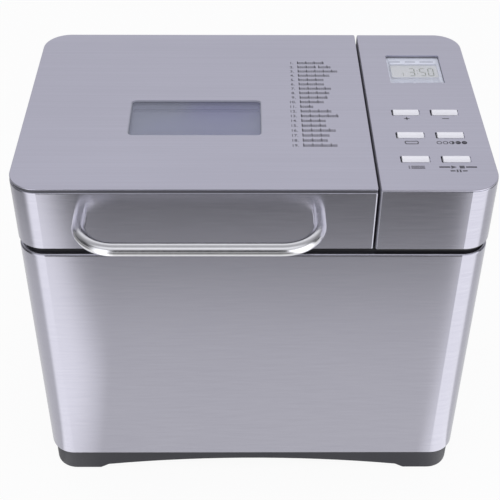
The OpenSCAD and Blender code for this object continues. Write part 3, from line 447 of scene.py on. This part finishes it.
dress(non_stick("pan_coating", (0.085, 0.085, 0.092)), "bread_pan")
dress(non_stick("paddle_coating", (0.04, 0.04, 0.045)), "kneading_paddle")
dress(cast_alloy, "pan_base")
silicone = moulded("brown_silicone", (0.32, 0.07, 0.035), 0.55)
dress(silicone, "pan_seal")
dress(bright_steel, "pan_bail")


# ---- Control block -----------------------------------------------------------------------
# A folded steel wall under a flat brushed plate, fixed to the right of the lid and left dull
# on the side towards it. The display sits in a cut-out, behind a clear lens and a pale frame.
plate_steel = brushed_steel("brushed_plate", stretch=(8, 1500, 8), light=(0.54, 0.534, 0.625),
                            dark=(0.48, 0.474, 0.558), roughness=0.36)


def gap_side(place):
    """1 on the wall that faces the lid across the gap."""
    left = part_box("control_housing")[0].x
    return 1 - place.axis("X").between(left + 0.0005, left + 0.001)


dress(brushed_steel("brushed_block", unbrushed=gap_side, **wall_finish), "control_housing")
dress(plate_steel, "control_plate")
dress(moulded("guide_grey", (0.2, 0.2, 0.24), 0.5), "button_guide")
dress(moulded("pale_bezel", (0.86, 0.89, 1.0), 0.4), "lcd_bezel")
crystal, shader, place = new_finish("liquid_crystal", Roughness=0.25)
cells = pattern(place, 90, 1)
feed(shader, "Base Color", cells.mix((0.61, 0.62, 0.64, 1), (0.68, 0.69, 0.71, 1)))
dress(crystal, "lcd_module")


def clear_pane(name, colour, other, alpha, roughness, shade_behind_y=None):
    """Glass that lets part of the light straight through. Its tint drifts, and it has smears.

    Behind the y that is given, if one is, it is darker: a painted shade along the pane's back
    edge.
    """
    material, shader, place = new_finish(name)
    drift = pattern(place, 14, 1).between(0.35, 0.65)
    tint = drift.mix(opaque(colour), opaque(other))
    if shade_behind_y:
        # Painted shade: the tint is darkened behind that y.
        painted_edge_shade = place.axis("Y").between(shade_behind_y - 0.001, shade_behind_y + 0.001)
        tint = painted_edge_shade.mix(tint, opaque(colour, 0.35))
    feed(shader, "Base Color", tint)
    smear = pattern(place, 30)
    feed(shader, "Alpha", smear * 0.04 + (alpha - 0.02))
    feed(shader, "Roughness", smear * 0.06 + roughness)
    return material


lens = clear_pane("display_lens", (0.85, 0.87, 0.93), (0.8, 0.84, 0.9),
                  alpha=0.06, roughness=0.05)
dress(lens, "lcd_lens")


# ---- Display print -----------------------------------------------------------------------
# The crystal shows a programme number and a time in segments, and the frame round it has a
# row of plain dashes above and below. All of it is ink a few hundredths of a millimetre thick.
INK = 0.00004


def ink(name, colour):
    """Screen-printed ink that is a little thinner in places."""
    material, shader, place = new_finish(name)
    thin = pattern(place, 900, 2)
    pale = tuple(c + (0.4 - c) * 0.25 for c in colour)
    feed(shader, "Base Color", thin.between(0.45, 0.75).mix(opaque(colour), opaque(pale)))
    feed(shader, "Roughness", thin * 0.2 + 0.4)
    return material


def bar(x, y, width, depth, z):
    """A printed bar with its corners cut, centred on x and y, half sunk in the face at z."""
    bpy.ops.object.select_all(action="DESELECT")
    bpy.ops.mesh.primitive_cube_add(size=1, location=(x, y, z), scale=(width, depth, 2 * INK))
    bpy.ops.object.transform_apply(location=True, rotation=True, scale=True)
    piece = bpy.context.active_object
    bpy.ops.object.mode_set(mode="EDIT")
    bpy.ops.mesh.select_all(action="DESELECT")
    shape = bmesh.from_edit_mesh(piece.data)
    for edge in shape.edges:
        a, b = (corner.co for corner in edge.verts)
        edge.select_set(abs(a.z - b.z) > INK)
    bmesh.update_edit_mesh(piece.data)
    bpy.ops.mesh.bevel(offset=min(width, depth) * 0.25, segments=1)
    bpy.ops.object.mode_set(mode="OBJECT")
    return piece


def printed(name, parts, material, body):
    """Joins the parts of a print into one piece and lets it ride on its body."""
    bpy.ops.object.select_all(action="DESELECT")
    for part in parts:
        part.select_set(True)
    bpy.context.view_layer.objects.active = parts[0]
    bpy.ops.object.join()
    piece = bpy.context.active_object
    piece.name = name
    piece.data.name = name
    piece.data.materials.clear()
    piece.data.materials.append(material)
    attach(piece, body)


LIT = {"1": "bc", "3": "abgcd", "0": "abcdef", "5": "afgcd"}


def digit(figure, x, y, width, height, z):
    """Seven-segment figure with its lower left corner at x, y."""
    stroke = width * 0.22
    half = height / 2
    level = (width - stroke, stroke)
    upright = (stroke, half - stroke)
    segments = {"a": (width / 2, height, *level),
                "b": (width, half * 1.5, *upright),
                "c": (width, half / 2, *upright),
                "d": (width / 2, 0, *level),
                "e": (0, half / 2, *upright),
                "f": (0, half * 1.5, *upright),
                "g": (width / 2, half, *level)}
    lit = [segments[letter] for letter in LIT[figure]]
    return [bar(x + along_x, y + along_y, *size, z) for along_x, along_y, *size in lit]


# The programme's number is small, and the time has a colon after its first figure
low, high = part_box("lcd_module")
left, face = low.x, high.z
foot_y = low.y + 0.0055
figures = digit("1", left + 0.0085, foot_y, 0.0026, 0.0055, face)
for x, figure in ((0.0165, "3"), (0.0255, "5"), (0.0325, "0")):
    figures += digit(figure, left + x, foot_y, 0.0042, 0.0115, face)
dot = 0.0009
for rise in (0.004, 0.008):
    figures.append(bar(left + 0.0232, foot_y + rise, dot, dot, face))
printed("display_figures", figures, ink("figure_grey", (0.23, 0.26, 0.22)), "machine")

# Each dash has its middle at x from the frame's left side
low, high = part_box("lcd_bezel")
back_y, front_y = high.y - 0.0062, low.y + 0.0042
back_dashes = ((0.0075, 0.009), (0.0205, 0.0085), (0.0345, 0.0115))
front_dashes = ((0.006, 0.0045), (0.0155, 0.008), (0.0265, 0.0095), (0.038, 0.0105))
dashes = [bar(low.x + x, y, width, 0.0011, high.z)
          for y, row in ((back_y, back_dashes), (front_y, front_dashes)) for x, width in row]
printed("display_dashes", dashes, ink("dash_grey", (0.27, 0.28, 0.37)), "machine")


# ---- Buttons -----------------------------------------------------------------------------
# Six caps of glossy white plastic, which stand a little out of the plate. The left end of the
# flange that each hangs on is painted black, a painted shade that shows as a dark slit beside the
# cap.
plate_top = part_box("control_plate")[1].z
buttons = ("button_plus", "button_minus", "button_loaf", "button_browning", "button_menu",
           "button_start")
cap_white, shader, place = new_finish("cap_white")
sideways, height = place.axis("X"), place.axis("Z")
shaded_left_ends = 0  # of both columns, of which the first row tells the places
for button in buttons[:2]:
    low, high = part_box(button)
    middle = (low.x + high.x) / 2
    from_left = sideways.between(low.x - 0.001, low.x)
    shaded_left_ends = shaded_left_ends + from_left * (1 - sideways.between(middle, middle + 0.001))
# Painted shade: the flange under the left end of each cap is coloured black for the shadow in its
# slit.
painted_slit_shade = shaded_left_ends * (1 - height.between(plate_top - 0.0012, plate_top - 0.001))
tone = pattern(place, 60, 2)
white = tone.mix((0.86, 0.86, 0.92, 1), (0.91, 0.905, 0.97, 1))
feed(shader, "Base Color", painted_slit_shade.mix(white, (0.01, 0.01, 0.012, 1)))
feed(shader, "Roughness", tone * 0.1 + 0.2)
dress(cap_white, *buttons)


# ---- Button signs ------------------------------------------------------------------------
# A sign is printed on the plate in front of each button: plus, minus, a loaf, five shades
# of crust, a menu's lines, and start and stop over pause.
print_grey = ink("print_grey", (0.075, 0.072, 0.095))


def in_front_of(button, distance):
    """The middle of the place for a sign, that far in front of the button's middle."""
    low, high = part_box(button)
    return (low.x + high.x) / 2, (low.y + high.y) / 2 - distance


def flat_shape(corners, z, x, y, rim=0):
    """A printed sheet with these corners, or only its outline if a rim's width is given."""
    bpy.ops.object.select_all(action="DESELECT")
    bpy.ops.mesh.primitive_circle_add(vertices=len(corners), fill_type="NGON", location=(0, 0, 0))
    piece = bpy.context.active_object
    for corner, (cx, cy) in zip(piece.data.vertices, corners):
        corner.co = (x + cx, y + cy, z - INK)
    bpy.ops.object.mode_set(mode="EDIT")
    bpy.ops.mesh.select_all(action="SELECT")
    if rim:
        bpy.ops.mesh.inset(thickness=rim)
        bpy.ops.mesh.delete(type="FACE")
        bpy.ops.mesh.select_all(action="SELECT")
    bpy.ops.mesh.extrude_region_move(TRANSFORM_OT_translate={"value": (0, 0, 2 * INK)})
    bpy.ops.mesh.select_all(action="SELECT")
    bpy.ops.mesh.normals_make_consistent(inside=False)
    bpy.ops.object.mode_set(mode="OBJECT")
    return piece


def arc(radius, start, end, steps=16, x=0.0, y=0.0):
    """Points on an arc round x, y, from a start to an end in degrees."""
    turns = [radians(start + (end - start) * i / steps) for i in range(steps + 1)]
    return [(x + radius * cos(t), y + radius * sin(t)) for t in turns]


line = 0.001
x, y = in_front_of("button_plus", 0.0084)
signs = [bar(x, y, 0.0044, line, plate_top), bar(x, y, line, 0.004, plate_top)]
x, y = in_front_of("button_minus", 0.0084)
signs.append(bar(x, y, 0.0052, line, plate_top))

# A loaf, seen from its side: a flat foot and a risen crust
x, y = in_front_of("button_loaf", 0.0099)
left_crust = arc(0.0019, 200, 60, 10, x=-0.0036, y=0.0006)
right_crust = arc(0.0019, 120, -20, 10, x=0.0036, y=0.0006)
loaf = [(0.0048, -0.0021), (-0.0048, -0.0021)] + left_crust + right_crust
signs.append(flat_shape(loaf[::-1], plate_top, x, y, rim=0.0009))

# Five shades of crust, each filled further from its right side than the one before
x, y = in_front_of("button_browning", 0.0099)
for i, filled in enumerate((0, 45, 90, 135, 171)):
    spot = x + (i - 2) * 0.0048
    signs.append(flat_shape(arc(0.0021, 0, 342, 19), plate_top, spot, y, rim=0.0007))
    if filled:
        signs.append(flat_shape(arc(0.0019, -filled, filled), plate_top, spot, y))

# Three lines of a menu, each with a dot before it
x, y = in_front_of("button_menu", 0.0102)
for i in range(3):
    menu_y = y + (i - 1) * 0.0014
    signs.append(bar(x + 0.0009, menu_y, 0.0102, 0.0008, plate_top))
    signs.append(bar(x - 0.0056, menu_y, 0.0011, 0.0008, plate_top))

# Start and stop between two rules, and pause between two shorter ones under them
x, y = in_front_of("button_start", 0.0099)
pause_y = y - 0.0048
start_sign = [(-0.0021, -0.002), (0.0021, 0), (-0.0021, 0.002)]
signs.append(flat_shape(start_sign, plate_top, x - 0.003, y))
signs.append(bar(x + 0.003, y, 0.0038, 0.0034, plate_top))
for side in (-1, 1):
    signs.append(bar(x + side * 0.0099, y, 0.0082, 0.0018, plate_top))
    signs.append(bar(x + side * 0.0011, pause_y, 0.0013, 0.0032, plate_top))
    signs.append(bar(x + side * 0.0045, pause_y, 0.0036, 0.0015, plate_top))
printed("button_signs", signs, print_grey, "machine")


# ---- Lid ---------------------------------------------------------------------------------
# A flat brushed plate over a folded steel skirt, with a dark frame between them. A double
# window lies in the plate, and a pressed liner with a silicone gasket closes the oven.
dress(plate_steel, "lid_plate")
dress(wall_steel, "lid_skirt")
dress(moulded("frame_grey", (0.11, 0.11, 0.13), 0.5), "lid_frame")
dress(oven_sheet("liner_sheet"), "lid_liner")
dress(silicone, "lid_gasket")

# A grey seal stands between the panes, and its foot on the inner one is painted black, a painted
# shade where it meets that pane
seal, shader, place = new_finish("seal_grey")
fine = pattern(place, 2600, 2)
inner_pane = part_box("inner_window")[1]
# Painted shade: the lowest millimetre of the seal is coloured black.
painted_foot_shade = 1 - place.axis("Z").between(inner_pane.z + 0.0006, inner_pane.z + 0.0012)
feed(shader, "Base Color", painted_foot_shade.mix((0.4, 0.41, 0.47, 1), (0.01, 0.01, 0.012, 1)))
feed(shader, "Roughness", fine * 0.1 + 0.5)
feed(shader, "Normal", relief(fine, 0.00003, 0.5))
dress(seal, "window_seals")

smoked_glass = clear_pane("smoked_glass", (0.31, 0.32, 0.5), (0.34, 0.36, 0.47),
                          alpha=0.42, roughness=0.08)
dress(smoked_glass, "lid_window")
# The inner pane is painted darker near its back edge, a painted shade by the seal.
inner_glass = clear_pane("inner_glass", (0.6, 0.61, 0.73), (0.62, 0.65, 0.73),
                         alpha=0.85, roughness=0.1, shade_behind_y=inner_pane.y - 0.0072)
dress(inner_glass, "inner_window")


# ---- Programme list ----------------------------------------------------------------------
# Nineteen numbered lines are printed on the lid beside the window. Each number is followed
# by a row of small plain boxes where the programme's name would stand.
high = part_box("lid_plate")[1]
name_x = high.x - 0.0521
number_x = name_x - 0.0032
first_y = high.y - 0.0502
lid_top = high.z
line_pitch = 0.0068
mm = 0.001
name_lengths = (22, 15, 34, 26.5, 21.5, 21.5, 26.5, 25, 22, 20,
                10, 25, 29, 19, 19.5, 25.5, 21, 18.5, 25.5)
second_name = ((0, 15), (17.5, 10))
glyph_w, glyph_h, glyph_pitch = 0.0014, 0.0029, 0.00175
glyph = [(0, 0), (glyph_w, 0), (glyph_w, glyph_h), (0, glyph_h)]


def in_a_row(piece, step, count):
    """Repeats a printed shape along its line and keeps it as one mesh."""
    row = piece.modifiers.new("row", "ARRAY")
    row.use_relative_offset = False
    row.use_constant_offset = True
    row.constant_offset_displace = (step, 0, 0)
    row.count = count
    bpy.ops.object.modifier_apply(modifier="row")
    return piece


lines = []
for i, length in enumerate(name_lengths):
    y = first_y - i * line_pitch
    bpy.ops.object.select_all(action="DESELECT")
    bpy.ops.object.text_add(location=(0, 0, 0))
    number = bpy.context.active_object
    number.data.body = f"{i + 1}."
    number.data.align_x = "RIGHT"
    number.data.size = 0.0047
    number.data.extrude = INK
    number.data.offset = 0.00006
    bpy.ops.object.convert(target="MESH")
    number.location = (number_x, y, lid_top)
    bpy.ops.object.transform_apply(location=True, rotation=True, scale=True)
    lines.append(number)
    for start, extent in second_name if i == 1 else ((0, length),):
        x = name_x + start * mm
        count = round(extent * mm / glyph_pitch)
        box = flat_shape(glyph, lid_top, x, y, rim=0.0005)
        lines.append(in_a_row(box, glyph_pitch, count))
        stroke = bar(x + 0.0003, y + 0.0022, 0.0007, 0.0044, lid_top)
        lines.append(in_a_row(stroke, glyph_pitch * 4, (count + 3) // 4))
printed("programme_list", lines, print_grey, "lid")


# ---- Handle ------------------------------------------------------------------------------
# One round bar of stainless steel, bent at both ends and polished. Two screws hold it from
# inside the lid.
dress(turned_steel("handle_steel", (0.8, 0.8, 0.83), 0.22), "handle")
dress(zinc, "handle_screws")


# ---- Sizes -------------------------------------------------------------------------------
# The box round the machine with all the pieces of this script.
low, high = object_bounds()
